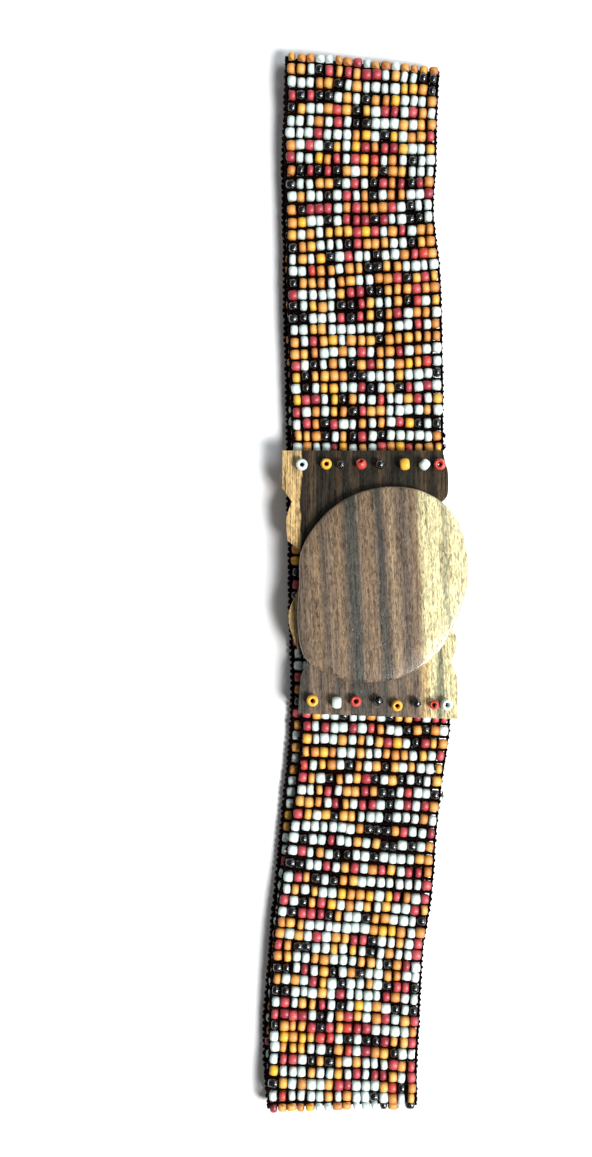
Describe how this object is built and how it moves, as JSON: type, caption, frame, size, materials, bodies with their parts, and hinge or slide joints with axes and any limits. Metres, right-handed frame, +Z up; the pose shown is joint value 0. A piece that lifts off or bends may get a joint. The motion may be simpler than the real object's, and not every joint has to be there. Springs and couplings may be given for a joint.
{
  "type": "beaded stretch belt",
  "caption": "Wide stretch belt of woven seed beads, buckled and laid flat, with scalloped wooden end plates joined under an oval wooden disc.",
  "frame": {"origin": "middle of the folded belt's outline, on the surface that it lies on", "axes": "+Y along the folded belt towards the upper fold, +X across the band to the right seen from above, +Z up from the surface to the disc"},
  "size_m": [0.077, 0.4056, 0.0167],
  "materials": {
    "beadwork": "glossy glass seed beads on black elastic thread",
    "dark_wood": "satin lacquered dark rosewood with a tan sapwood strip",
    "striped_wood": "gloss lacquered striped rosewood with pale sapwood",
    "white_bead": "glossy opaque glass",
    "amber_bead": "glossy opaque glass",
    "red_bead": "glossy opaque glass",
    "black_bead": "glossy opaque glass",
    "black_thread": "waxed black elastic and thread"
  },
  "bodies": {
    "root": {"beaded_band": "beadwork", "upper_end_plate": "dark_wood", "lower_end_plate": "striped_wood", "buckle_disc": "striped_wood", "hook_post": "dark_wood", "upper_stopper_1": "white_bead", "upper_stopper_2": "amber_bead", "upper_stopper_3": "black_bead", "upper_stopper_4": "red_bead", "upper_stopper_5": "black_bead", "upper_stopper_6": "amber_bead", "upper_stopper_7": "white_bead", "upper_stopper_8": "red_bead", "lower_stopper_1": "amber_bead", "lower_stopper_2": "white_bead", "lower_stopper_3": "red_bead", "lower_stopper_4": "black_bead", "lower_stopper_5": "amber_bead", "lower_stopper_6": "black_bead", "lower_stopper_7": "red_bead", "lower_stopper_8": "white_bead"}
  },
  "joints": []
}
